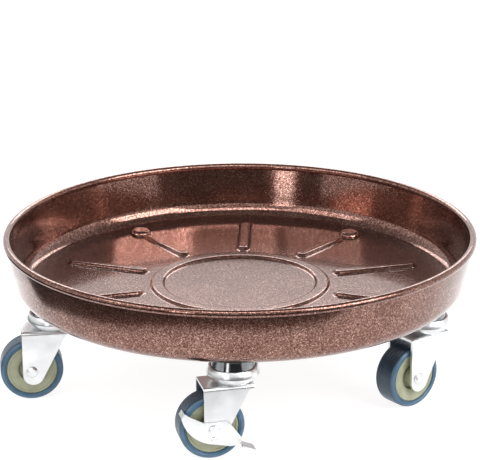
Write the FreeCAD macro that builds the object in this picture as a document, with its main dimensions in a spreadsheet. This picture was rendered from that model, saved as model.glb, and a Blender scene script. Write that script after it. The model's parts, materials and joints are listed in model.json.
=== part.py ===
import FreeCAD, Part
import math
import os
import re
import Sketcher
from FreeCAD import Placement, Rotation, Vector

# Plant pot caddy: a round pressed-steel tray on five swivel casters.
# Origin on the floor under the tray's centre, +Z up, front caster towards -Y. Millimetres, degrees.
# Every caster is drawn in its own frame: the wheel trails towards -X and its near face looks towards -Y.

SIZES = {
    # overall heights, from the floor up
    "wheel_radius": 25.0,
    "crown_clearance": 6.3,      # tyre to the crown's underside
    "swivel_height": 19.2,       # crown's top to the tray's underside
    "tray_depth": 47.5,          # tray's underside to the top of the rolled rim
    # tray
    "rim_radius": 190.0,         # over the rolled rim
    "rim_bead_radius": 3.0,
    "tray_sheet": 1.2,
    "tray_corner_radius": 15.0,  # outside radius between wall and bottom
    "wall_lean": 10.2,           # of the wall from the vertical
    "ring_inner": 61.0,          # raised stiffening ring round the centre disc
    "ring_outer": 73.0,
    "ring_height": 2.0,
    "ring_flank": 1.6,
    "rib_start": 86.0,           # tray centre to the centre of a rib's inner round end
    "rib_margin": 8.0,           # kingpin circle to the outer round end of the ribs between casters
    "rib_nut_gap": 3.0,          # cap nut to the ribs that point at it
    "rib_width": 12.0,
    "rib_height": 2.5,
    "rib_flank": 40.0,           # slope of a rib's sides from the vertical
    "pin_inset": 35.0,           # rim to the kingpin circle
    "front_azimuth": -92.0,
    # kingpin, its cap nut and the upper race
    "pin_radius": 4.0,
    "pin_head_radius": 6.5,
    "pin_head_thick": 2.4,
    "pin_head_round": 1.4,
    "pin_collar_radius": 6.5,
    "pin_collar_thick": 4.0,
    "nut_radius": 9.0,
    "nut_height": 3.4,
    "nut_brim": 1.0,
    "nut_crown": 3.0,            # width of the cap nut's round shoulder
    "nut_shoulder": 4.5,         # radius of that shoulder
    "nut_roof": 1.2,
    "race_radius": 16.6,
    "race_taper": 1.6,           # by which the race's top is slimmer
    "race_sheet": 1.4,
    "race_round": 1.0,
    "race_throat": 8.6,          # radius of the opening inside the curled raceway
    # ball ring and swivel cup
    "ball_radius": 2.0,
    "ball_circle": 11.2,
    "ball_count": 14.0,
    "cup_sheet": 1.3,
    "cup_foot_radius": 14.5,
    "cup_foot_break": 1.0,
    "cup_belly_radius": 20.2,
    "cup_belly_height": 6.6,
    "cup_height": 12.0,
    "cup_curve": 11.0,           # outside radius of the bowl's two bends
    "running_gap": 0.08,         # radial clearance of a turning fit
    "side_gap": 0.1,             # axial clearance beside a turning face
    "lip_gap": 0.35,             # cup lip to upper race
    # fork
    "fork_plate": 2.0,
    "wheel_side_gap": 2.0,       # tyre to the inside of a leg
    "crown_front": 13.5,
    "leg_front": 9.0,            # top of a leg's slanted front edge
    "leg_front_drop": 2.0,       # of that point below the crown
    "leg_rear": 7.3,             # axle to a leg's vertical rear edge
    "leg_end_radius": 8.3,
    "leg_end_drop": 2.6,         # of the leg's round end below the axle
    "fork_bend_radius": 2.6,
    # axle and wheel
    "wheel_trail": 18.0,
    "axle_radius": 3.0,
    "axle_head_radius": 4.6,
    "axle_head_thick": 2.2,
    "axle_head_brim": 0.6,
    "axle_head_round": 3.0,
    "axle_nut_flats": 10.0,
    "axle_nut_thick": 4.0,
    "axle_end": 0.8,             # of the axle beyond its nut
    "axle_end_break": 0.5,
    "sleeve_radius": 4.5,
    "tyre_thick": 5.0,
    "tyre_half_width": 10.0,
    "tyre_shoulder": 3.0,
    "hub_inset": 1.0,            # hub's face inside the tyre's
    "hub_cone": 1.5,             # by which the face falls towards the recess
    "hub_recess_radius": 10.6,
    "hub_boss_radius": 7.6,
    "hub_floor": 4.0,            # half thickness at the recess
    "hub_boss_gap": 0.4,
    # brake lever on the front caster, measured from the axle
    "lever_plate": 1.6,
    "lever_gap": 0.15,
    "lever_pivot_drop": 7.6,
    "lever_rivet_radius": 1.8,
    "lever_rivet_head": 3.0,
    "lever_rivet_thick": 1.1,
    "lever_rivet_round": 1.6,
    "lever_slot_play": 1.2,
    "lever_slot_gap": 0.25,
    "lever_heel_drop": 10.8,     # lower edge under the axle
    "lever_heel_curve": 29.0,
    "lever_toe_start": 12.0,
    "lever_toe_reach": 20.5,
    "lever_toe_drop": 13.4,
    "lever_toe_top": 7.2,
    "lever_waist_reach": 12.8,
    "lever_waist_rise": 3.6,
    "lever_brow_reach": 9.0,
    "lever_brow_rise": 6.6,
    "lever_nape_reach": 7.2,
    "shoe_angle": 151.0,         # direction of the shoe from the axle
    "shoe_back": 6.0,            # angles that the shoe covers each side of it
    "shoe_front": 3.0,
    "shoe_gap": 1.0,             # shoe to tread with the brake off
    "shoe_reach": 9.0,
    "shoe_root": 4.0,
    "pedal_start": 19.2,
    "pedal_drop": 10.0,
    "pedal_length": 11.0,
    "pedal_width": 11.0,
    "pedal_dip": 22.0,
    # swivel angles at rest
    "front_yaw": 14.0,
    "right_yaw": 38.0,
    "back_right_yaw": -115.0,
    "back_left_yaw": -70.0,
    "left_yaw": 8.0,
}

CASTERS = ("front", "right", "back_right", "back_left", "left")
TINY = 0.01
FULL_TURN = 360
HALF_TURN = 180
NUT_SIDES = 6
START, END, CENTRE = 1, 2, 3        # points of a sketch curve
H_AXIS = -1
ORIGIN = (H_AXIS, START)

doc = FreeCAD.newDocument("plant_pot_caddy")


def make_sheet():
    """Put every driving dimension in one spreadsheet cell with its name as the alias."""
    table = doc.addObject("Spreadsheet::Sheet", "dims")
    for row, (name, size) in enumerate(SIZES.items(), start=1):
        table.set("A%d" % row, name)
        table.set("B%d" % row, str(size))
        table.setAlias("B%d" % row, name)
    doc.recompute()
    return table


sheet = make_sheet()


def bind(text):
    """Point every size name in an expression at its spreadsheet cell."""
    return re.sub(r"[a-z]+(?:_[a-z]+)+", lambda word: "dims." + word.group(), str(text))


def number(text):
    """Today's value of an expression."""
    return float(sheet.evalExpression(bind(text)))


# ---------------------------------------------------------------- sketches

def new_body(name):
    body = doc.addObject("PartDesign::Body", name)
    body.Label = name
    return body


def new_sketch(body, role, lift=None, turn=None):
    """A sketch on one of the body's own origin planes, lifted along its normal and turned about it."""
    plane = next(item for item in body.Origin.OriginFeatures if item.Role == role)
    sketch = body.newObject("Sketcher::SketchObject", body.Name + "_sketch")
    sketch.AttachmentSupport = [(plane, "")]
    sketch.MapMode = "FlatFace"
    if lift is not None:
        sketch.setExpression("AttachmentOffset.Base.z", bind(lift))
    if turn is not None:
        sketch.setExpression("AttachmentOffset.Rotation.Angle", "(%s) * 1 deg" % bind(turn))
    return sketch


def dimension(sketch, kind, text, *where):
    """Add one dimension and bind it to an expression."""
    index = sketch.addConstraint(Sketcher.Constraint(kind, *where, number(text)))
    sketch.setExpression("Constraints[%d]" % index, bind(text))


def arc_through(start, end, radius, left_turn):
    """The short arc from start to end, turning left or right, as a counter-clockwise circle arc."""
    middle = (start + end) / 2
    half = (end - start).Length / 2
    across = Vector(-(end - start).y, (end - start).x, 0).normalize()
    side = 1 if left_turn else -1
    centre = middle + across * side * math.sqrt(max(radius ** 2 - half ** 2, 0))
    first, last = (start, end) if left_turn else (end, start)
    begin = math.atan2(first.y - centre.y, first.x - centre.x)
    finish = math.atan2(last.y - centre.y, last.x - centre.x)
    return Part.ArcOfCircle(Part.Circle(centre, Vector(0, 0, 1), radius), begin, finish)


def outline(sketch, corners, arcs=None):
    """A closed outline. corners are pairs of expressions; arcs maps a side to (radius, left_turn)."""
    arcs = arcs or {}
    points = [Vector(number(across), number(up), 0) for across, up in corners]
    starts, ends = [], []
    for side, start in enumerate(points):
        end = points[(side + 1) % len(points)]
        if side in arcs:
            radius, left_turn = arcs[side]
            sketch.addGeometry(arc_through(start, end, number(radius), left_turn))
        else:
            left_turn = True
            sketch.addGeometry(Part.LineSegment(start, end))
        starts.append(START if left_turn else END)
        ends.append(END if left_turn else START)
    first = sketch.GeometryCount - len(points)
    for side in range(len(points)):
        after = (side + 1) % len(points)
        sketch.addConstraint(Sketcher.Constraint(
            "Coincident", first + side, ends[side], first + after, starts[after]))
    for side, (across, up) in enumerate(corners):
        dimension(sketch, "DistanceX", across, *ORIGIN, first + side, starts[side])
        dimension(sketch, "DistanceY", up, *ORIGIN, first + side, starts[side])
    for side, (radius, _) in arcs.items():
        dimension(sketch, "Radius", radius, first + side)


def ring(sketch, across, up, radius):
    """A circle at an expression-driven centre."""
    place = Vector(number(across), number(up), 0)
    circle = sketch.addGeometry(Part.Circle(place, Vector(0, 0, 1), number(radius)))
    dimension(sketch, "DistanceX", across, *ORIGIN, circle, CENTRE)
    dimension(sketch, "DistanceY", up, *ORIGIN, circle, CENTRE)
    dimension(sketch, "Radius", radius, circle)


def slot(sketch, near, far, radius):
    """A slot along the sketch's own X axis, from one end's centre to the other's."""
    left, right, half = number(near), number(far), number(radius)
    up = Vector(0, 0, 1)
    quarter = math.pi / 2
    near_end = sketch.addGeometry(Part.ArcOfCircle(Part.Circle(Vector(left, 0, 0), up, half), quarter, -quarter))
    far_end = sketch.addGeometry(Part.ArcOfCircle(Part.Circle(Vector(right, 0, 0), up, half), -quarter, quarter))
    lower = sketch.addGeometry(Part.LineSegment(Vector(left, -half, 0), Vector(right, -half, 0)))
    upper = sketch.addGeometry(Part.LineSegment(Vector(right, half, 0), Vector(left, half, 0)))
    for before, after in ((near_end, lower), (lower, far_end), (far_end, upper), (upper, near_end)):
        sketch.addConstraint(Sketcher.Constraint("Tangent", before, END, after, START))
    sketch.addConstraint(Sketcher.Constraint("PointOnObject", near_end, CENTRE, H_AXIS))
    sketch.addConstraint(Sketcher.Constraint("PointOnObject", far_end, CENTRE, H_AXIS))
    dimension(sketch, "DistanceX", near, *ORIGIN, near_end, CENTRE)
    dimension(sketch, "DistanceX", far, *ORIGIN, far_end, CENTRE)
    dimension(sketch, "Radius", radius, near_end)


# ---------------------------------------------------------------- features

def revolve(body, sketch):
    feature = body.newObject("PartDesign::Revolution", body.Name + "_turned")
    feature.Profile = sketch
    feature.ReferenceAxis = (sketch, ["V_Axis"])
    feature.Angle = FULL_TURN
    sketch.Visibility = False
    return feature


def extrude(body, kind, sketch, length=None, both_ways=False, backwards=False, taper=0):
    """A Pad or Pocket; with no length a Pocket goes through everything."""
    feature = body.newObject("PartDesign::" + kind, body.Name + "_" + kind.lower())
    feature.Profile = sketch
    feature.Reversed = backwards
    feature.SideType = "Symmetric" if both_ways else "One side"
    if length is None:
        feature.Type = "ThroughAll"
    else:
        feature.Length = number(length)
        feature.setExpression("Length", bind(length))
    if taper:
        feature.TaperAngle = -number(taper)
        feature.setExpression("TaperAngle", "-" + bind(taper))
    return feature


def repeat(body, features, axis_sketch):
    """The same features once for each caster, round the body's own vertical axis."""
    pattern = body.newObject("PartDesign::PolarPattern", body.Name + "_pattern")
    pattern.Originals = features
    pattern.Axis = (axis_sketch, ["N_Axis"])
    pattern.Angle = FULL_TURN
    pattern.Occurrences = len(CASTERS)
    body.Tip = pattern
    return pattern


def round_edges(body, base, wanted, radius):
    """Fillet those edges of a feature that pass a test."""
    doc.recompute()
    names = ["Edge%d" % (i + 1) for i, edge in enumerate(base.Shape.Edges) if wanted(edge)]
    fillet = body.newObject("PartDesign::Fillet", body.Name + "_fillet")
    fillet.Base = (base, names)
    fillet.Radius = number(radius)
    fillet.setExpression("Radius", bind(radius))
    return fillet


# ---------------------------------------------------------------- shared heights and places

CROWN_UNDER = "(2 * wheel_radius + crown_clearance)"
CROWN_TOP = "(%s + fork_plate)" % CROWN_UNDER
TRAY_UNDER = "(%s + swivel_height)" % CROWN_TOP
TRAY_TOP = "(%s + tray_sheet)" % TRAY_UNDER
BEAD_HEIGHT = "(%s + tray_depth - rim_bead_radius)" % TRAY_UNDER
BEAD_AXIS = "(rim_radius - rim_bead_radius)"
CUP_FLOOR = "(%s + cup_sheet)" % CROWN_TOP
CUP_LIP = "(%s + cup_height)" % CROWN_TOP
RACEWAY = "(%s + 2 * ball_radius + side_gap)" % CUP_FLOOR
PIN_CIRCLE = "(rim_radius - pin_inset)"
LEG_INSIDE = "(tyre_half_width + wheel_side_gap)"
LEG_OUTSIDE = "(%s + fork_plate)" % LEG_INSIDE
THROUGH_LEGS = "4 * " + LEG_OUTSIDE
HUB_RADIUS = "(wheel_radius - tyre_thick)"


def azimuth(caster):
    """Direction of a caster's kingpin from the tray's centre."""
    return "(front_azimuth + %d * %d / %d)" % (CASTERS.index(caster), FULL_TURN, len(CASTERS))


def place(item, caster, back="0", up="0"):
    """Stand an item at a caster's kingpin, moved back along the trail and up, turned by the swivel angle."""
    yaw = caster + "_yaw"
    spots = {
        "x": "%s * cos(%s) - %s * cos(%s)" % (PIN_CIRCLE, azimuth(caster), back, yaw),
        "y": "%s * sin(%s) - %s * sin(%s)" % (PIN_CIRCLE, azimuth(caster), back, yaw),
        "z": up,
    }
    base = Vector(*(number(spots[axis]) for axis in "xyz"))
    item.Placement = Placement(base, Rotation(Vector(0, 0, 1), number(yaw)))
    for axis, text in spots.items():
        item.setExpression("Placement.Base." + axis, bind(text))
    item.setExpression("Placement.Rotation.Angle", bind(yaw) + " * 1 deg")
    return item


def place_on_axle(item, caster, drop="0"):
    return place(item, caster, "wheel_trail", "wheel_radius - " + drop)


# ---------------------------------------------------------------- tray

def tray_section(tray):
    """Half the tray's sheet-metal section, in radius and height."""
    corner_height = "(%s + tray_corner_radius)" % TRAY_UNDER
    wall_foot = "(%s + tray_sheet / 2 - (%s - %s) * tan(wall_lean))" % (BEAD_AXIS, BEAD_HEIGHT, corner_height)
    corner_axis = "(%s - tray_corner_radius / cos(wall_lean))" % wall_foot

    def surface(height, bend, side):
        """One face of the sheet, from the axis out to the rim."""
        face = [("0", height), ("ring_inner", height)]
        face.append(("ring_inner + ring_flank", height + " + ring_height"))
        face.append(("ring_outer - ring_flank", height + " + ring_height"))
        face.append(("ring_outer", height))
        face.append((corner_axis, height))
        bend_end = corner_axis + " + %s * cos(wall_lean)" % bend
        face.append((bend_end, corner_height + " - %s * sin(wall_lean)" % bend))
        face.append(("%s %s tray_sheet / 2" % (BEAD_AXIS, side), BEAD_HEIGHT))
        return face

    outer_bend = "tray_corner_radius"
    inner_bend = "(tray_corner_radius - tray_sheet)"
    below = surface(TRAY_UNDER, outer_bend, "+")
    above = surface(TRAY_TOP, inner_bend, "-")
    section = new_sketch(tray, "XZ_Plane")
    outer_side = len(below) - 3
    inner_side = len(below) + 1
    outline(section, below + above[::-1], {outer_side: (outer_bend, True), inner_side: (inner_bend, False)})
    return section


def rolled_rim(tray):
    bead = new_sketch(tray, "XZ_Plane")
    ring(bead, BEAD_AXIS, BEAD_HEIGHT, "rim_bead_radius")
    return bead


def emboss_ribs(tray, turn, far):
    """One radial rib, raised above and hollow below, repeated once for each caster."""
    above = new_sketch(tray, "XY_Plane", TRAY_TOP, turn)
    slot(above, "rib_start", far, "rib_width / 2")
    rib = extrude(tray, "Pad", above, "rib_height", taper="rib_flank")
    below = new_sketch(tray, "XY_Plane", TRAY_UNDER, turn)
    hollow_half = "rib_width / 2 + tray_sheet * tan(rib_flank) - tray_sheet / cos(rib_flank)"
    slot(below, "rib_start", far, hollow_half)
    hollow = extrude(tray, "Pocket", below, "rib_height", backwards=True, taper="rib_flank")
    repeat(tray, [rib, hollow], above)


def make_tray():
    """Pressed dish: stiffening ring, radial embossed ribs, rolled rim and one hole for each kingpin."""
    tray = new_body("tray")
    revolve(tray, tray_section(tray))
    revolve(tray, rolled_rim(tray))
    emboss_ribs(tray, "0", PIN_CIRCLE + " - nut_radius - rib_nut_gap - rib_width / 2")
    emboss_ribs(tray, "%d / %d" % (HALF_TURN, len(CASTERS)), PIN_CIRCLE + " - rib_margin")
    hole_sketch = new_sketch(tray, "XY_Plane")
    ring(hole_sketch, PIN_CIRCLE, "0", "pin_radius")
    hole = extrude(tray, "Pocket", hole_sketch, backwards=True)
    repeat(tray, [hole], hole_sketch)
    tray.Placement = Placement(Vector(0, 0, 0), Rotation(Vector(0, 0, 1), number("front_azimuth")))
    tray.setExpression("Placement.Rotation.Angle", bind("front_azimuth") + " * 1 deg")
    return tray


# ---------------------------------------------------------------- fixed half of a caster

def make_stem(caster):
    """Kingpin: round head under the crown, shank, collar that clamps the race, and threaded top."""
    stem = new_body(caster + "_stem")
    section = new_sketch(stem, "XZ_Plane")
    head_top = CROWN_UNDER + " - side_gap"
    head_low = head_top + " - pin_head_thick"
    collar_top = TRAY_UNDER + " - race_sheet"
    collar_low = collar_top + " - pin_collar_thick"
    thread_end = TRAY_TOP + " + nut_height - nut_roof"
    outline(section, [
        ("0", head_low), ("pin_head_radius - pin_head_round", head_low),
        ("pin_head_radius", head_low + " + pin_head_round"), ("pin_head_radius", head_top),
        ("pin_radius", head_top), ("pin_radius", collar_low),
        ("pin_collar_radius", collar_low), ("pin_collar_radius", collar_top),
        ("pin_radius", collar_top), ("pin_radius", thread_end), ("0", thread_end)],
        {1: ("pin_head_round", True)})
    revolve(stem, section)
    return place(stem, caster)


def make_cap_nut(caster):
    """Low domed nut on the tray's floor, painted with the tray."""
    nut = new_body(caster + "_cap_nut")
    section = new_sketch(nut, "XZ_Plane")
    roof = TRAY_TOP + " + nut_height"
    ceiling = roof + " - nut_roof"
    outline(section, [
        ("pin_radius", TRAY_TOP), ("nut_radius", TRAY_TOP), ("nut_radius", TRAY_TOP + " + nut_brim"),
        ("nut_radius - nut_crown", roof), ("0", roof), ("0", ceiling), ("pin_radius", ceiling)],
        {2: ("nut_shoulder", True)})
    revolve(nut, section)
    return place(nut, caster)


def make_upper_race(caster):
    """Inverted pressed cup under the tray whose lower edge curls inward to run on the balls."""
    race = new_body(caster + "_upper_race")
    section = new_sketch(race, "XZ_Plane")
    inside = "race_radius - race_sheet"
    top_radius = "race_radius - race_taper"
    ceiling = TRAY_UNDER + " - race_sheet"
    curl_top = RACEWAY + " + race_sheet"
    outline(section, [
        ("pin_radius", ceiling), (top_radius + " - race_sheet", ceiling),
        (inside, CUP_LIP), (inside, curl_top), ("race_throat", curl_top),
        ("race_throat", RACEWAY), (inside, RACEWAY), ("race_radius", curl_top), ("race_radius", CUP_LIP),
        (top_radius, TRAY_UNDER + " - race_round"), (top_radius + " - race_round", TRAY_UNDER),
        ("pin_radius", TRAY_UNDER)],
        {6: ("race_sheet", True), 9: ("race_round", True)})
    revolve(race, section)
    return place(race, caster)


# ---------------------------------------------------------------- swivelling half of a caster

def make_balls(caster):
    """One ring of steel balls between the cup's floor and the upper race."""
    radius = number("ball_radius")
    height = number(CUP_FLOOR + " + ball_radius")
    count = int(number("ball_count"))
    balls = []
    for index in range(count):
        turn = 2 * math.pi * index / count
        centre = Vector(math.cos(turn), math.sin(turn), 0) * number("ball_circle")
        balls.append(Part.makeSphere(radius, centre + Vector(0, 0, height)))
    group = doc.addObject("Part::Feature", caster + "_race_balls")
    group.Label = caster + "_race_balls"
    group.Shape = Part.makeCompound(balls)
    return place(group, caster)


def make_cup(caster):
    """Pressed swivel cup on the fork's crown: a bowl whose lip closes round the upper race."""
    cup = new_body(caster + "_swivel_cup")
    section = new_sketch(cup, "XZ_Plane")
    bore = "pin_radius + running_gap"
    lip = "(race_radius + lip_gap)"
    belly = CROWN_TOP + " + cup_belly_height"
    foot = "cup_foot_radius - cup_sheet"
    inner_curve = "cup_curve - cup_sheet"
    outline(section, [
        (bore, CROWN_TOP), ("cup_foot_radius - cup_foot_break", CROWN_TOP),
        ("cup_foot_radius", CROWN_TOP + " + cup_foot_break"), ("cup_belly_radius", belly),
        (lip + " + cup_sheet", CUP_LIP), (lip, CUP_LIP), ("cup_belly_radius - cup_sheet", belly),
        (foot, CUP_FLOOR + " + cup_foot_break"), (foot + " - cup_foot_break", CUP_FLOOR), (bore, CUP_FLOOR)],
        {2: ("cup_curve", True), 3: ("cup_curve", True), 5: (inner_curve, False), 6: (inner_curve, False)})
    revolve(cup, section)
    return place(cup, caster)


def leg_outline(sketch):
    """The fork seen from its side: vertical rear edge, round lower end, slanted front edge."""
    rear = "(wheel_trail + leg_rear)"
    end_x = "(leg_end_radius - %s)" % rear
    end_z = "(wheel_radius - leg_end_drop)"
    top_z = "(%s - leg_front_drop)" % CROWN_UNDER
    reach = "sqrt((leg_front - %s)^2 + (%s - %s)^2)" % (end_x, top_z, end_z)
    slope = "(atan((%s - %s) / (leg_front - %s)) + asin(leg_end_radius / %s))" % (top_z, end_z, end_x, reach)
    outline(sketch, [
        ("-" + rear, CROWN_TOP), ("-" + rear, end_z), (end_x, end_z + " - leg_end_radius"),
        ("%s + leg_end_radius * sin(%s)" % (end_x, slope), "%s - leg_end_radius * cos(%s)" % (end_z, slope)),
        ("leg_front", top_z), ("crown_front", CROWN_UNDER), ("crown_front", CROWN_TOP)],
        {1: ("leg_end_radius", True), 2: ("leg_end_radius", True)})


def is_outer_bend(edge):
    """True for the two straight edges where the crown's top meets the legs' outsides."""
    half = number(LEG_OUTSIDE)
    top = number(CROWN_TOP)
    ends = [vertex.Point for vertex in edge.Vertexes]
    if len(ends) != 2 or abs(ends[0].x - ends[1].x) < half:
        return False
    return all(abs(abs(end.y) - half) < TINY and abs(end.z - top) < TINY for end in ends)


def make_fork(caster, braked):
    """Pressed U-shaped fork: crown plate, two legs, kingpin hole, axle holes, and a brake rivet hole."""
    fork = new_body(caster + "_fork")
    side = new_sketch(fork, "XZ_Plane")
    leg_outline(side)
    extrude(fork, "Pad", side, "2 * " + LEG_OUTSIDE, both_ways=True)
    channel = new_sketch(fork, "XZ_Plane")
    beyond = "2 * wheel_radius"
    outline(channel, [
        ("-" + beyond, "0"), (beyond, "0"), (beyond, CROWN_UNDER), ("-" + beyond, CROWN_UNDER)])
    cut = extrude(fork, "Pocket", channel, "2 * " + LEG_INSIDE, both_ways=True)
    round_edges(fork, cut, is_outer_bend, "fork_bend_radius")
    pin_hole = new_sketch(fork, "XY_Plane")
    ring(pin_hole, "0", "0", "pin_radius + running_gap")
    extrude(fork, "Pocket", pin_hole, backwards=True)
    axle_hole = new_sketch(fork, "XZ_Plane")
    ring(axle_hole, "-wheel_trail", "wheel_radius", "axle_radius")
    fork.Tip = extrude(fork, "Pocket", axle_hole, THROUGH_LEGS, both_ways=True)
    if braked:
        rivet_hole = new_sketch(fork, "XZ_Plane")
        ring(rivet_hole, "-wheel_trail", "wheel_radius - lever_pivot_drop", "lever_rivet_radius")
        fork.Tip = extrude(fork, "Pocket", rivet_hole, "2 * " + LEG_OUTSIDE, backwards=True)
    return place(fork, caster)


def make_axle(caster, braked):
    """Axle bolt with a round head on the near side and a plain end for the lock nut."""
    axle = new_body(caster + "_axle")
    section = new_sketch(axle, "XY_Plane")
    lever = " + 2 * lever_gap + lever_plate" if braked else ""
    under = "(%s%s)" % (LEG_OUTSIDE, lever)
    end = LEG_OUTSIDE + " + axle_nut_thick + axle_end"
    face = "-(%s + axle_head_thick)" % under
    outline(section, [
        ("0", face), ("axle_head_radius - axle_head_thick + axle_head_brim", face),
        ("axle_head_radius", "-(%s + axle_head_brim)" % under), ("axle_head_radius", "-" + under),
        ("axle_radius", "-" + under), ("axle_radius", end + " - axle_end_break"),
        ("axle_radius - axle_end_break", end), ("0", end)],
        {1: ("axle_head_round", True)})
    revolve(axle, section)
    return place_on_axle(axle, caster)


def make_axle_nut(caster):
    """Hexagon lock nut on the far leg."""
    nut = new_body(caster + "_axle_nut")
    face = new_sketch(nut, "XZ_Plane", "-" + LEG_OUTSIDE)
    corner = "axle_nut_flats / sqrt(3)"
    turns = range(0, FULL_TURN, FULL_TURN // NUT_SIDES)
    outline(face, [("%s * cos(%d)" % (corner, turn), "%s * sin(%d)" % (corner, turn)) for turn in turns])
    ring(face, "0", "0", "axle_radius")
    extrude(nut, "Pad", face, "axle_nut_thick", backwards=True)
    return place_on_axle(nut, caster)


def make_sleeve(caster):
    """Steel sleeve clamped between the legs, on which the hub turns."""
    sleeve = new_body(caster + "_axle_sleeve")
    section = new_sketch(sleeve, "XY_Plane")
    outline(section, [
        ("axle_radius", "-" + LEG_INSIDE), ("sleeve_radius", "-" + LEG_INSIDE),
        ("sleeve_radius", LEG_INSIDE), ("axle_radius", LEG_INSIDE)])
    revolve(sleeve, section)
    return place_on_axle(sleeve, caster)


# ---------------------------------------------------------------- wheel

def make_hub(caster):
    """Moulded hub: coned faces, a recess round the boss, and a bore that runs on the sleeve."""
    hub = new_body(caster + "_hub")
    section = new_sketch(hub, "XY_Plane")
    boss = "(%s - hub_boss_gap)" % LEG_INSIDE
    face = "tyre_half_width - hub_inset"
    half = [
        ("sleeve_radius + running_gap", boss), ("hub_boss_radius", boss), ("hub_boss_radius", "hub_floor"),
        ("hub_recess_radius", "hub_floor"), ("hub_recess_radius", face + " - hub_cone"), (HUB_RADIUS, face)]
    mirrored = [(radius, "-(%s)" % across) for radius, across in half[::-1]]
    outline(section, half + mirrored)
    revolve(hub, section)
    return place_on_axle(hub, caster)


def make_tyre(caster):
    """Rubber tyre with round shoulders, moulded on the hub."""
    tyre = new_body(caster + "_tyre")
    section = new_sketch(tyre, "XY_Plane")
    tread = "(tyre_half_width - tyre_shoulder)"
    flank = "wheel_radius - tyre_shoulder"
    outline(section, [
        (HUB_RADIUS, "-tyre_half_width"), (flank, "-tyre_half_width"), ("wheel_radius", "-" + tread),
        ("wheel_radius", tread), (flank, "tyre_half_width"), (HUB_RADIUS, "tyre_half_width")],
        {1: ("tyre_shoulder", True), 3: ("tyre_shoulder", True)})
    revolve(tyre, section)
    return place_on_axle(tyre, caster)


# ---------------------------------------------------------------- brake

LEVER_INNER = "(%s + lever_gap)" % LEG_OUTSIDE
SHOE_INSIDE = "wheel_radius + shoe_gap"
SHOE_OUTSIDE = SHOE_INSIDE + " + lever_plate"
SHOE_REAR = "(shoe_angle - shoe_back)"
SHOE_LOW = "(shoe_angle + shoe_front)"


def radial(radius, turn):
    return ("(%s) * cos(%s)" % (radius, turn), "(%s) * sin(%s)" % (radius, turn))


def lever_plate_outline(sketch):
    """Crescent from the shoe, under the axle, to the pedal's root, and back over the axle."""
    outline(sketch, [
        radial(SHOE_OUTSIDE, SHOE_REAR), radial(SHOE_OUTSIDE, SHOE_LOW), ("0", "-lever_heel_drop"),
        ("lever_toe_start", "-lever_toe_drop"), ("lever_toe_reach", "-lever_toe_drop"),
        ("lever_toe_reach", "-lever_toe_top"), ("lever_waist_reach", "lever_waist_rise"),
        ("lever_brow_reach", "lever_brow_rise"), ("-lever_nape_reach", "lever_brow_rise"),
        radial(SHOE_INSIDE + " - shoe_root", SHOE_REAR)],
        {1: ("lever_heel_curve", True)})


def pedal_outline(sketch):
    """Edge of the pedal's sheet, dipping forward."""
    end_x = "pedal_start + pedal_length * cos(pedal_dip)"
    fall = "pedal_length * sin(pedal_dip)"
    outline(sketch, [
        ("pedal_start", "-pedal_drop"), ("pedal_start", "-pedal_drop - lever_plate"),
        (end_x, "-pedal_drop - lever_plate - " + fall), (end_x, "-pedal_drop - " + fall)])


def make_brake_lever(caster):
    """Stamped lever outside the near leg: shoe over the tread behind, pedal in front."""
    lever = new_body("brake_lever")
    plate = new_sketch(lever, "XZ_Plane", LEVER_INNER)
    lever_plate_outline(plate)
    extrude(lever, "Pad", plate, "lever_plate")
    shoe = new_sketch(lever, "XZ_Plane", LEVER_INNER + " - shoe_reach")
    outline(shoe, [
        radial(SHOE_INSIDE, SHOE_REAR), radial(SHOE_OUTSIDE, SHOE_REAR),
        radial(SHOE_OUTSIDE, SHOE_LOW), radial(SHOE_INSIDE, SHOE_LOW)])
    extrude(lever, "Pad", shoe, "shoe_reach + lever_plate")
    pedal = new_sketch(lever, "XZ_Plane", LEVER_INNER)
    pedal_outline(pedal)
    extrude(lever, "Pad", pedal, "pedal_width")
    axle_slot = new_sketch(lever, "XZ_Plane")
    slot(axle_slot, "-lever_slot_play", "lever_slot_play", "axle_radius + lever_slot_gap")
    extrude(lever, "Pocket", axle_slot, THROUGH_LEGS, both_ways=True)
    rivet_hole = new_sketch(lever, "XZ_Plane")
    ring(rivet_hole, "0", "-lever_pivot_drop", "lever_rivet_radius + running_gap")
    lever.Tip = extrude(lever, "Pocket", rivet_hole, THROUGH_LEGS, both_ways=True)
    return place_on_axle(lever, caster)


def make_brake_rivet(caster):
    """Shouldered rivet in the near leg, on which the lever turns."""
    rivet = new_body("brake_rivet")
    section = new_sketch(rivet, "XY_Plane")
    under = "(%s + lever_plate + side_gap)" % LEVER_INNER
    face = "-(%s + lever_rivet_thick)" % under
    inside = "-" + LEG_INSIDE
    outline(section, [
        ("0", face), ("lever_rivet_head - lever_rivet_thick", face), ("lever_rivet_head", "-" + under),
        ("lever_rivet_radius", "-" + under), ("lever_rivet_radius", inside), ("0", inside)],
        {1: ("lever_rivet_round", True)})
    revolve(rivet, section)
    return place_on_axle(rivet, caster, "lever_pivot_drop")


# ---------------------------------------------------------------- assembly

def make_caster(caster):
    braked = caster == CASTERS[0]
    pieces = [
        make_stem(caster), make_cap_nut(caster), make_upper_race(caster), make_balls(caster),
        make_cup(caster), make_fork(caster, braked), make_axle(caster, braked), make_axle_nut(caster),
        make_sleeve(caster), make_hub(caster), make_tyre(caster)]
    if braked:
        pieces += [make_brake_lever(caster), make_brake_rivet(caster)]
    return pieces


def check(pieces):
    """Stop if any object failed to compute or any piece is empty or broken."""
    for item in doc.Objects:
        if "Invalid" in item.State or "Error" in item.State:
            raise RuntimeError("%s failed: %s" % (item.Label, item.State))
    for piece in pieces:
        if piece.Shape.isNull() or not piece.Shape.isValid() or piece.Shape.Volume <= 0:
            raise RuntimeError("%s has no sound solid" % piece.Label)


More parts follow.
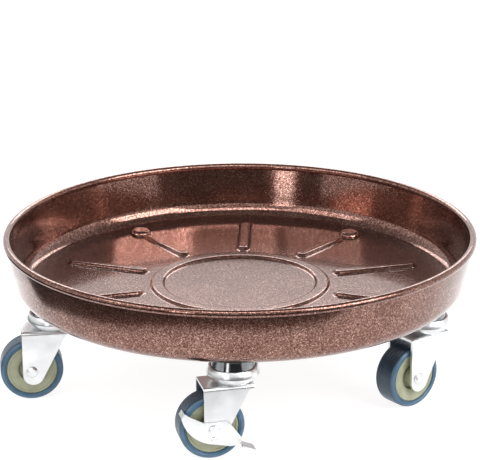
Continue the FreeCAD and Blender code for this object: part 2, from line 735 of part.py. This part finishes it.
def main():
    pieces = [make_tray()]
    for caster in CASTERS:
        pieces += make_caster(caster)
    doc.recompute()
    check(pieces)
    os.makedirs("parts", exist_ok=True)
    for piece in pieces:
        piece.Shape.exportStep("parts/%s.step" % piece.Label)
    print("%d pieces written" % len(pieces))


main()
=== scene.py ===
import json
import math
import bpy
from mathutils import Matrix, Vector


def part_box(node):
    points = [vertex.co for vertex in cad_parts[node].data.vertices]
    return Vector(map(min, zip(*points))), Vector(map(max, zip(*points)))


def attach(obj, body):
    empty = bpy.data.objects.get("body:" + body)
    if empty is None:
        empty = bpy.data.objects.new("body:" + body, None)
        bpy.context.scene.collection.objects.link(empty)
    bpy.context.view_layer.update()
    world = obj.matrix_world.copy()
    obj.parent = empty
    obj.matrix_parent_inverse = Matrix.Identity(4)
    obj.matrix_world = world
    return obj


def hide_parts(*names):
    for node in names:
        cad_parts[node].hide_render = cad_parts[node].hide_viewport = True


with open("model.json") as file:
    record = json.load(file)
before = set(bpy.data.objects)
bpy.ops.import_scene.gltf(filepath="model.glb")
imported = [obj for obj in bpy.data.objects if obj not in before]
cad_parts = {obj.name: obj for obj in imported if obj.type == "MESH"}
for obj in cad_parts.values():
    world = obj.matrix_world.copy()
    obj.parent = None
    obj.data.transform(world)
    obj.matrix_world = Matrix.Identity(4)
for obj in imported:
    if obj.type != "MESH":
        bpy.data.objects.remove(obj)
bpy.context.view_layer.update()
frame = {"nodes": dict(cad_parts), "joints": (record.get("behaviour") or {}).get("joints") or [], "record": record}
nodes = frame["nodes"]
joints = {joint["name"]: joint for joint in frame["joints"]}

MM = 0.001
CASTERS = ("front", "right", "back_right", "back_left", "left")
SOFT_CREASE = 40


# ---------------------------------------------------------------- mesh helpers

def add_mesh(name, points, faces, sharp_degrees=SOFT_CREASE):
    """A smooth-shaded mesh object whose creases sharper than an angle stay crisp."""
    mesh = bpy.data.meshes.new(name)
    mesh.from_pydata(points, [], faces)
    mesh.validate()
    mesh.shade_smooth()
    mesh.set_sharp_from_angle(angle=math.radians(sharp_degrees))
    piece = bpy.data.objects.new(name, mesh)
    bpy.context.scene.collection.objects.link(piece)
    return piece


def lathe(name, outline, segments, place, sharp_degrees=SOFT_CREASE):
    """Turn a closed outline of (radius, height) points about local Z."""
    points, faces = [], []
    count = len(outline)
    for turn in range(segments):
        angle = 2 * math.pi * turn / segments
        for radius, height in outline:
            local = Vector((radius * math.cos(angle), radius * math.sin(angle), height))
            points.append(place @ local)
    for turn in range(segments):
        here, there = turn * count, (turn + 1) % segments * count
        for index in range(count):
            after = (index + 1) % count
            faces.append((here + index, there + index, there + after, here + after))
    return add_mesh(name, points, faces, sharp_degrees)


def finish_piece(piece, body, node, material):
    """Give a piece its material and body, and hide the CAD node it stands for."""
    piece.data.materials.clear()
    piece.data.materials.append(material)
    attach(piece, body)
    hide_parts(node)


# ---------------------------------------------------------------- materials

def new_material(name):
    """An empty material, its node tree and its shader."""
    material = bpy.data.materials.new(name)
    material.use_nodes = True
    tree = material.node_tree
    shader = next(node for node in tree.nodes if node.type == "BSDF_PRINCIPLED")
    return material, tree, shader


def add_node(tree, kind, **values):
    """A shader node with its settings, and its unlinked inputs by name."""
    node = tree.nodes.new(kind)
    for key, value in values.items():
        if hasattr(node, key):
            setattr(node, key, value)
        else:
            node.inputs[key.replace("_", " ")].default_value = value
    return node


def noise(tree, scale, detail=4.0, roughness=0.5, distortion=0.0):
    """Noise over the object's own coordinates, in features per metre."""
    place = add_node(tree, "ShaderNodeTexCoord")
    texture = add_node(tree, "ShaderNodeTexNoise", Scale=scale, Detail=detail)
    texture.inputs["Roughness"].default_value = roughness
    texture.inputs["Distortion"].default_value = distortion
    tree.links.new(place.outputs["Object"], texture.inputs["Vector"])
    return texture.outputs["Fac"]


def ramp(tree, source, stops):
    """Colour ramp over a factor."""
    node = add_node(tree, "ShaderNodeValToRGB")
    tree.links.new(source, node.inputs["Fac"])
    elements = node.color_ramp.elements
    while len(elements) < len(stops):
        elements.new(0.5)
    for element, (position, colour) in zip(elements, stops):
        element.position = position
        element.color = (*colour, 1)
    return node.outputs["Color"]


def span(tree, source, low, high, out_low, out_high):
    """Map a factor's range to another, clamped."""
    node = add_node(tree, "ShaderNodeMapRange")
    tree.links.new(source, node.inputs["Value"])
    sockets = ("From Min", "From Max", "To Min", "To Max")
    for socket, value in zip(sockets, (low, high, out_low, out_high)):
        node.inputs[socket].default_value = value
    return node.outputs["Result"]


def bump(tree, shader, height, distance):
    """Raise the surface by a height factor times a distance."""
    node = add_node(tree, "ShaderNodeBump", Distance=distance, Strength=1.0)
    tree.links.new(height, node.inputs["Height"])
    tree.links.new(node.outputs["Normal"], shader.inputs["Normal"])


DRIFT_SHARE = 0.10


def tray_paint():
    """Antique copper vein coat: dark brown hollows between fine coppery worms, under a clear coat."""
    material, tree, shader = new_material("tray_paint")
    veins = noise(tree, 900, detail=2.0, roughness=0.55, distortion=1.6)
    drift = noise(tree, 35, detail=3.0)
    mixed = add_node(tree, "ShaderNodeMath", operation="MULTIPLY_ADD")
    tree.links.new(drift, mixed.inputs[0])
    mixed.inputs[1].default_value = DRIFT_SHARE
    tree.links.new(veins, mixed.inputs[2])
    colour = ramp(tree, mixed.outputs["Value"], [
        (0.42, (0.050, 0.013, 0.007)), (0.54, (0.150, 0.054, 0.036)),
        (0.62, (0.28, 0.140, 0.106)), (0.74, (0.60, 0.39, 0.33))])
    tree.links.new(colour, shader.inputs["Base Color"])
    tree.links.new(span(tree, veins, 0.4, 0.6, 0.16, 0.11), shader.inputs["Roughness"])
    shader.inputs["Metallic"].default_value = 0.9
    shader.inputs["Coat Weight"].default_value = 0.5
    shader.inputs["Coat Roughness"].default_value = 0.07
    bump(tree, shader, veins, 0.000010)
    return material


def zinc():
    """Bright zinc plate: satin, faintly clouded, with fine rolling grain."""
    material, tree, shader = new_material("zinc_steel")
    cloud = noise(tree, 70, detail=4.0)
    colour = ramp(tree, cloud, [(0.3, (0.70, 0.71, 0.72)), (0.7, (0.84, 0.845, 0.85))])
    tree.links.new(colour, shader.inputs["Base Color"])
    tree.links.new(span(tree, cloud, 0.3, 0.7, 0.36, 0.27), shader.inputs["Roughness"])
    shader.inputs["Metallic"].default_value = 1.0
    bump(tree, shader, noise(tree, 420, detail=2.0), 0.000008)
    return material


def dark_chrome():
    """Polished dark plate of the upper races."""
    material, tree, shader = new_material("dark_chrome")
    mottle = noise(tree, 250, detail=4.0)
    colour = ramp(tree, mottle, [(0.3, (0.22, 0.23, 0.235)), (0.7, (0.34, 0.35, 0.36))])
    tree.links.new(colour, shader.inputs["Base Color"])
    tree.links.new(span(tree, mottle, 0.3, 0.7, 0.18, 0.10), shader.inputs["Roughness"])
    shader.inputs["Metallic"].default_value = 1.0
    bump(tree, shader, mottle, 0.00002)
    return material


def ball_steel():
    """Polished bearing steel with a film of grease."""
    material, tree, shader = new_material("ball_steel")
    film = noise(tree, 600, detail=3.0)
    colour = ramp(tree, film, [(0.35, (0.55, 0.54, 0.50)), (0.65, (0.72, 0.72, 0.72))])
    tree.links.new(colour, shader.inputs["Base Color"])
    tree.links.new(span(tree, film, 0.3, 0.7, 0.22, 0.10), shader.inputs["Roughness"])
    shader.inputs["Metallic"].default_value = 1.0
    return material


def hub_plastic():
    """Cream moulded plastic, faintly cloudy."""
    material, tree, shader = new_material("hub_plastic")
    cloud = noise(tree, 90, detail=5.0)
    colour = ramp(tree, cloud, [(0.3, (0.24, 0.245, 0.155)), (0.7, (0.34, 0.345, 0.235))])
    tree.links.new(colour, shader.inputs["Base Color"])
    tree.links.new(span(tree, cloud, 0.3, 0.7, 0.46, 0.36), shader.inputs["Roughness"])
    shader.inputs["Subsurface Weight"].default_value = 0.08
    shader.inputs["Subsurface Radius"].default_value = (0.002, 0.0018, 0.0012)
    bump(tree, shader, noise(tree, 1500, detail=3.0), 0.00003)
    return material


# mesh attribute that marks the tread for its painted shade
TREAD_SHADE_ATTRIBUTE = "tread"


def tyre_rubber():
    """Grey-blue thermoplastic rubber: satin, fine grained, with painted shade making the tread darker than the
    sides.
    """
    material, tree, shader = new_material("tyre_rubber")
    cloud = noise(tree, 120, detail=5.0)
    side = ramp(tree, cloud, [(0.3, (0.035, 0.082, 0.130)), (0.7, (0.060, 0.128, 0.195))])
    # painted shade: the tread colour is darker than the sides' colour so that the tread reads as shaded
    tread = ramp(tree, cloud, [(0.3, (0.008, 0.019, 0.032)), (0.7, (0.017, 0.040, 0.064))])
    tread_shade = add_node(tree, "ShaderNodeMixRGB")
    tread_shade_mask = add_node(tree, "ShaderNodeAttribute", attribute_name=TREAD_SHADE_ATTRIBUTE)
    tree.links.new(tread_shade_mask.outputs["Fac"], tread_shade.inputs["Fac"])
    tree.links.new(side, tread_shade.inputs["Color1"])
    tree.links.new(tread, tread_shade.inputs["Color2"])
    tree.links.new(tread_shade.outputs["Color"], shader.inputs["Base Color"])
    tree.links.new(span(tree, cloud, 0.3, 0.7, 0.40, 0.28), shader.inputs["Roughness"])
    shader.inputs["Coat Weight"].default_value = 0.25
    shader.inputs["Coat Roughness"].default_value = 0.2
    shader.inputs["Coat Tint"].default_value = (0.55, 0.78, 1.0, 1)
    bump(tree, shader, noise(tree, 2200, detail=2.0), 0.00003)
    return material


MATERIALS = {
    "tray_paint": tray_paint(), "zinc_steel": zinc(), "dark_chrome": dark_chrome(),
    "ball_steel": ball_steel(), "hub_plastic": hub_plastic(), "tyre_rubber": tyre_rubber(),
}

for part in frame["record"]["subparts"]:
    node = nodes[part["node"]]
    node.data.materials.clear()
    node.data.materials.append(MATERIALS[part["material_slot"]])


# ---------------------------------------------------------------- tray

SHEET = 1.2 * MM
BEAD = 3 * MM
CORNER = 15 * MM
LEAN = math.radians(10.2)
RING = (61 * MM, 73 * MM, 2 * MM)
RING_FLANK = 1.8 * MM
RIB_START = 86 * MM
RIB_ENDS = (137 * MM, 147 * MM)
RIB_HALF = 6 * MM
RIB_FLANK = 2.8 * MM
RIB_HEIGHT = 2.5 * MM
FRONT = math.radians(-92)
RIB_PITCH = math.pi / len(CASTERS)
RIB_SPREAD = math.radians(4.6)
RIB_COLUMNS = 26
GAP_COLUMNS = 14
FLOOR_ZONES = ((58 * MM, 6), (76 * MM, 24), (93 * MM, 15), (130 * MM, 6), (155 * MM, 22))
EDGE_ROWS = 4
TRAY_CREASE = 50
BEND_ROWS = 12
WALL_ROWS = 8
CURL_ROWS = 30
CURL_START = math.radians(-104)
CURL_END = math.radians(-436)
CURL_MOUTH = BEAD * 0.98


def smooth(value):
    """Ease a factor from 0 to 1."""
    t = min(max(value, 0), 1)
    return t * t * (3 - 2 * t)


def ring_height(radius):
    """Height of the raised ring in the middle of the floor."""
    inner, outer, height = RING
    return height * smooth((radius - inner) / RING_FLANK) * smooth((outer - radius) / RING_FLANK)


def rib_height(radius, angle):
    """Height of the embossed ribs: one towards each caster and one between each pair."""
    index = round((angle - FRONT) / RIB_PITCH)
    off = angle - FRONT - index * RIB_PITCH
    along, across = radius * math.cos(off), radius * math.sin(off)
    end = RIB_ENDS[index % 2]
    beyond = max(RIB_START - along, 0, along - end)
    edge = RIB_HALF - math.hypot(beyond, across)
    return RIB_HEIGHT * smooth(edge / RIB_FLANK)


def steps(start, end, count):
    """Evenly spaced values after a start, up to an end."""
    return [start + (end - start) * step / count for step in range(1, count + 1)]


def floor_radii(edge):
    """Radii of the floor's rows, closer together at the ring and at the ends of the ribs."""
    radii, start = [], 0
    for end, count in FLOOR_ZONES + ((edge, EDGE_ROWS),):
        radii += steps(start, end, count)
        start = end
    return radii


def tray_angles():
    """Turns of the tray's columns, closer together across each rib than between the ribs."""
    angles = []
    for rib in range(2 * len(CASTERS)):
        near = FRONT + rib * RIB_PITCH - RIB_SPREAD
        far = near + 2 * RIB_SPREAD
        angles += [near] + steps(near, far, RIB_COLUMNS)
        angles += steps(far, near + RIB_PITCH, GAP_COLUMNS)[:-1]
    return angles


def arc_rows(centre, radius, start, end, count):
    """Points along an arc in the section plane."""
    turns = [start + (end - start) * step / count for step in range(count + 1)]
    return [(centre[0] + radius * math.cos(turn), centre[1] + radius * math.sin(turn)) for turn in turns]


def wall_rows(start, end, shares):
    """Points at given shares of the way along the tray's straight wall."""
    reach, climb = end[0] - start[0], end[1] - start[1]
    return [(start[0] + reach * share, start[1] + climb * share) for share in shares]


def tray_rows(low, high, reach):
    """The sheet's section as (radius, height, embossed), from the centre over the rim and back under."""
    bead_radius, bead_height = reach - BEAD, high - BEAD
    mouth = bead_height - CURL_MOUTH
    bend_height = low + CORNER
    wall_foot = bead_radius + SHEET / 2 - (bead_height - bend_height) * math.tan(LEAN)
    bend_radius = wall_foot - CORNER / math.cos(LEAN)
    bend = (bend_radius, bend_height)
    inside = arc_rows(bend, CORNER - SHEET, -math.pi / 2, -LEAN, BEND_ROWS)
    outside = arc_rows(bend, CORNER, -LEAN, -math.pi / 2, BEND_ROWS)
    up = [step / WALL_ROWS for step in range(1, WALL_ROWS + 1)]
    down = [step / WALL_ROWS for step in range(WALL_ROWS)]
    plain = inside[1:] + wall_rows(inside[-1], (bead_radius - SHEET / 2, mouth), up)
    plain += arc_rows((bead_radius, bead_height), BEAD, CURL_START, CURL_END, CURL_ROWS)
    plain += wall_rows((bead_radius + SHEET / 2, mouth), outside[0], down) + outside[:-1]
    floor = floor_radii(bend_radius)
    rows = [(radius, low + SHEET, True) for radius in floor]
    rows += [(radius, height, False) for radius, height in plain]
    return rows + [(radius, low, True) for radius in reversed(floor)]


def build_tray():
    """Pressed sheet tray on a fine polar grid."""
    low_corner, high_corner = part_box("tray")
    reach = (high_corner.x - low_corner.x) / 2
    rows = tray_rows(low_corner.z, high_corner.z, reach)
    angles = tray_angles()
    columns = len(angles)
    points = []
    for radius, height, embossed in rows:
        for angle in angles:
            rise = ring_height(radius) + rib_height(radius, angle) if embossed else 0
            points.append((radius * math.cos(angle), radius * math.sin(angle), height + rise))
    faces = []
    for row in range(len(rows) - 1):
        here, there = row * columns, (row + 1) * columns
        for turn in range(columns):
            after = (turn + 1) % columns
            faces.append((here + turn, there + turn, there + after, here + after))
    last = len(points)
    points += [(0, 0, rows[0][1]), (0, 0, rows[-1][1])]
    under = (len(rows) - 1) * columns
    for turn in range(columns):
        after = (turn + 1) % columns
        faces.append((last, turn, after))
        faces.append((last + 1, under + after, under + turn))
    tray = add_mesh("tray_pressing", points, faces, TRAY_CREASE)
    finish_piece(tray, "tray", "tray", MATERIALS["tray_paint"])


build_tray()


# ---------------------------------------------------------------- wheels

TYRE_WALL = 5 * MM
SHOULDER = 3 * MM
TREAD_LINES = (-6.2 * MM, -3.1 * MM, 0, 3.1 * MM, 6.2 * MM)
TREAD_LINE_HALF = 0.3 * MM
TREAD_LINE_DEPTH = 0.22 * MM
TYRE_HALF = 10 * MM
TYRE_SEGMENTS = 144
TYRE_CREASE = 35
SHOULDER_ROWS = 8
LIP_SINK = 0.8 * MM
LIP_PROUD = 0.1 * MM
GROOVE_SINK = 0.45 * MM
FACE_SINK = 0.3 * MM
HUB_SEGMENTS = 96
HUB_CREASE = 38
HUB_EDGE_HALF = 8.6
HUB_OUTLINE = (
    (4.58, 11.3), (4.9, 11.6), (7.3, 11.6), (7.6, 11.3),  # boss round the axle sleeve
    (7.6, 4.5), (8.1, 4.0), (10.1, 4.0), (10.6, 4.5),  # recess round the boss
    (10.6, 7.0), (10.8, 7.4), (11.3, 7.6),  # step up to the coned face
    (16.8, 8.35), (17.6, 8.35),  # end of the cone
    (18.1, 8.8), (18.6, 9.0), (19.4, 9.0),  # raised rim beside the tyre
)


def axle_place(caster):
    """Matrix whose Z runs along a caster's axle, centred in its tyre."""
    low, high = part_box(caster + "_tyre")
    spin = Vector(joints[caster + "_wheel_spin"]["axis"])
    return Matrix.Translation((low + high) / 2) @ spin.to_track_quat("Z", "Y").to_matrix().to_4x4()


def tyre_outline(radius, half):
    """Section with round shoulders, a moulded lip beside the hub and fine lines round the tread."""
    inner, corner = radius - TYRE_WALL, radius - SHOULDER
    side = [
        (inner, half - LIP_SINK), (inner + 0.5 * MM, half - LIP_PROUD),
        (inner + 0.9 * MM, half - LIP_PROUD), (inner + 1.2 * MM, half - GROOVE_SINK),
        (corner - 0.6 * MM, half - FACE_SINK), (corner - 0.1 * MM, half),
    ]
    shoulder = arc_rows((corner, half - SHOULDER), SHOULDER, math.pi / 2, 0, SHOULDER_ROWS)
    near = [(across, -height) for across, height in side + shoulder]
    tread = []
    for line in TREAD_LINES:
        tread += [(radius, line - TREAD_LINE_HALF), (radius - TREAD_LINE_DEPTH, line - TREAD_LINE_HALF / 2)]
        tread += [(radius - TREAD_LINE_DEPTH, line + TREAD_LINE_HALF / 2), (radius, line + TREAD_LINE_HALF)]
    return near + tread + list(reversed(side + shoulder))


def build_tyre(caster):
    """Moulded tyre with its tread marked for the painted shade that darkens it."""
    low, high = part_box(caster + "_tyre")
    radius = (high.z - low.z) / 2
    outline = tyre_outline(radius, TYRE_HALF)
    tyre = lathe(caster + "_tyre_moulding", outline, TYRE_SEGMENTS, axle_place(caster), TYRE_CREASE)
    # painted shade: 1 on the tread, easing to 0 on the sides, picks the darker shaded tread colour
    tread_shade = [smooth((TYRE_HALF - abs(height)) / SHOULDER) for _, height in outline]
    tread_shade_mask = tyre.data.attributes.new(TREAD_SHADE_ATTRIBUTE, "FLOAT", "POINT")
    tread_shade_mask.data.foreach_set("value", tread_shade * TYRE_SEGMENTS)
    finish_piece(tyre, caster + "_wheel", caster + "_tyre", MATERIALS["tyre_rubber"])


def hub_outline(radius):
    """Whole section of the hub, out to the bore of its tyre."""
    half = [(across * MM, height * MM) for across, height in HUB_OUTLINE] + [(radius, HUB_EDGE_HALF * MM)]
    return half + [(across, -height) for across, height in reversed(half)]


def build_hub(caster):
    """Moulded hub that fills its tyre."""
    low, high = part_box(caster + "_hub")
    outline = hub_outline((high.z - low.z) / 2)
    hub = lathe(caster + "_hub_moulding", outline, HUB_SEGMENTS, axle_place(caster), HUB_CREASE)
    finish_piece(hub, caster + "_wheel", caster + "_hub", MATERIALS["hub_plastic"])


for caster in CASTERS:
    build_tyre(caster)
    build_hub(caster)


# ---------------------------------------------------------------- broken edges of the metal parts

FORK_EDGE = 0.35 * MM
LEVER_EDGE = 0.3 * MM
EDGE_STEPS = 3
EDGE_ANGLE = math.radians(35)


def break_edges(node, width):
    """Round a node's sharp edges by a small radius."""
    bevel = nodes[node].modifiers.new("broken_edges", "BEVEL")
    bevel.width = width
    bevel.segments = EDGE_STEPS
    bevel.limit_method = "ANGLE"
    bevel.angle_limit = EDGE_ANGLE
    bevel.harden_normals = True


for caster in CASTERS:
    break_edges(caster + "_fork", FORK_EDGE)
break_edges("brake_lever", LEVER_EDGE)


# ---------------------------------------------------------------- stage, light and camera

FLOOR_REACH = 6
FLOOR_GREYS = [(0.3, (0.29, 0.29, 0.29)), (0.7, (0.31, 0.31, 0.31))]
FLOOR_GLOW = 0.86
CARD_LIFT = 1 * MM
CARD_STEP = 4
DARK_TURNS = (-128, 69)
DARK_REACH = 1.6
BRIGHT_START = 0.20
BRIGHT_END = 0.32
BRIGHT_GLOW = 1.35
FRONT_CARD_HALF = 1.5
FRONT_CARD_Y = -1.5
FRONT_CARD_HEIGHTS = (0.02, 0.42)
HORIZON_GLOW = 1.0
ZENITH_GLOW = 0.22
HORIZON_BAND = (0.35, 0.85)
CAMERA_LENS = 148.9
CAMERA_SENSOR = 36
CAMERA_DISTANCE = 1.6
CAMERA_ELEVATION = math.radians(18.27)
CAMERA_ROLL = math.radians(-0.2)
CAMERA_AIM = (0.2 * MM, 0, -1.3 * MM)


def square(reach):
    """Corners of a level square on the ground."""
    return [(-reach, -reach, 0), (reach, -reach, 0), (reach, reach, 0), (-reach, reach, 0)]


def stage_floor():
    """Pale floor, faintly clouded and glowing a little, so that it stays white."""
    floor = add_mesh("floor", square(FLOOR_REACH), [(0, 1, 2, 3)])
    material, tree, shader = new_material("floor")
    cloud = noise(tree, 6, detail=4.0)
    tree.links.new(ramp(tree, cloud, FLOOR_GREYS), shader.inputs["Base Color"])
    shader.inputs["Roughness"].default_value = 0.9
    shader.inputs["Emission Color"].default_value = (1, 1, 1, 1)
    shader.inputs["Emission Strength"].default_value = FLOOR_GLOW
    floor.data.materials.append(material)


def glossy_card(name, corners, faces, brightness):
    """A card that only shiny surfaces see: black, or glowing at a given brightness."""
    card = add_mesh(name, corners, faces)
    material, tree, shader = new_material(name)
    shader.inputs["Base Color"].default_value = (0.01, 0.01, 0.01, 1)
    shader.inputs["Roughness"].default_value = 1.0
    shader.inputs["Emission Color"].default_value = (1, 1, 1, 1)
    shader.inputs["Emission Strength"].default_value = brightness
    card.data.materials.append(material)
    card.visible_camera = False
    card.visible_diffuse = False
    card.visible_shadow = False
    card.visible_transmission = False


def annulus(edges, height):
    """Points and faces of a flat band from (turn in degrees from the front, inner radius, outer radius)."""
    points, faces = [], []
    for step, (turn, inner, outer) in enumerate(edges):
        angle = math.radians(turn - 90)
        for radius in (inner, outer):
            points.append((radius * math.cos(angle), radius * math.sin(angle), height))
        if step:
            faces.append((2 * step - 2, 2 * step - 1, 2 * step + 1, 2 * step))
    return points, faces


def dark_edge(turn):
    """Inner radius of the dark card: nearest at the front left, receding to both sides."""
    right = 0.06 * smooth((turn - 25) / 40)
    left = 0.10 * smooth((-turn - 85) / 40) - 0.008 * smooth((-turn - 20) / 30)
    return 0.2995 + right + left


def floor_cards():
    """Dark card for the upper half of the tray's wall, bright band nearer in for its lower half."""
    dark = [(turn, dark_edge(turn), DARK_REACH) for turn in range(*DARK_TURNS, CARD_STEP)]
    glossy_card("dark_floor_card", *annulus(dark, CARD_LIFT), 0)
    turns = range(-180, 181, CARD_STEP)
    bright = [(turn, BRIGHT_START, min(dark_edge(turn), BRIGHT_END)) for turn in turns]
    glossy_card("bright_floor_card", *annulus(bright, CARD_LIFT), BRIGHT_GLOW)


def front_card():
    """Upright dark card in front, from just above the floor to above the rim."""
    low, high = FRONT_CARD_HEIGHTS
    left, right = (-FRONT_CARD_HALF, FRONT_CARD_Y), (FRONT_CARD_HALF, FRONT_CARD_Y)
    glossy_card("front_card", [(*left, low), (*right, low), (*right, high), (*left, high)], [(0, 1, 2, 3)], 0)


def soft_light(name, place, aim, size, power):
    """Rectangular lamp aimed at a point."""
    light = bpy.data.lights.new(name, "AREA")
    light.shape = "RECTANGLE"
    light.size, light.size_y = size
    light.energy = power
    lamp = bpy.data.objects.new(name, light)
    lamp.location = place
    lamp.rotation_euler = (Vector(aim) - Vector(place)).to_track_quat("-Z", "Y").to_euler()
    bpy.context.scene.collection.objects.link(lamp)


def studio_world(horizon, zenith):
    """White surroundings, brightest at the horizon and dimmer overhead."""
    world = bpy.data.worlds.new("studio")
    world.use_nodes = True
    tree = world.node_tree
    place = add_node(tree, "ShaderNodeTexCoord")
    split = add_node(tree, "ShaderNodeSeparateXYZ")
    tree.links.new(place.outputs["Generated"], split.inputs[0])
    background = tree.nodes["Background"]
    background.inputs["Color"].default_value = (1, 1, 1, 1)
    strength = span(tree, split.outputs["Z"], *HORIZON_BAND, horizon, zenith)
    tree.links.new(strength, background.inputs["Strength"])
    bpy.context.scene.world = world


def product_camera():
    """Long lens from in front, about 18 degrees above the rim, level but for a hair of roll."""
    rim_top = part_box("tray")[1].z
    aim = Vector((0, 0, rim_top)) + Vector(CAMERA_AIM)
    camera = bpy.data.cameras.new("camera")
    camera.lens = CAMERA_LENS
    camera.sensor_width = CAMERA_SENSOR
    holder = bpy.data.objects.new("camera", camera)
    towards = Vector((0, -math.cos(CAMERA_ELEVATION), math.sin(CAMERA_ELEVATION)))
    holder.location = aim + CAMERA_DISTANCE * towards
    look = (aim - holder.location).to_track_quat("-Z", "Y").to_matrix()
    holder.rotation_euler = (look @ Matrix.Rotation(CAMERA_ROLL, 3, "Z")).to_euler()
    bpy.context.scene.collection.objects.link(holder)
    bpy.context.scene.camera = holder


stage_floor()
floor_cards()
front_card()
soft_light("key", (1.4, -0.9, 1.2), (0, 0, 0.06), (1.4, 1.1), 30)
soft_light("fill", (-1.3, -0.9, 1.5), (0, 0, 0.08), (1.4, 1.1), 10)
soft_light("overhead", (0.15, -1.0, 1.5), (0, -0.19, 0.1), (1.4, 0.5), 9)
soft_light("back", (0, 1.9, 1.3), (0, 0, 0.08), (2.0, 0.8), 18)
soft_light("strip", (-0.6, -1.3, 0.35), (0, 0.18, 0.1), (0.25, 0.6), 2)
studio_world(HORIZON_GLOW, ZENITH_GLOW)
product_camera()
bpy.context.scene.view_settings.view_transform = "Standard"
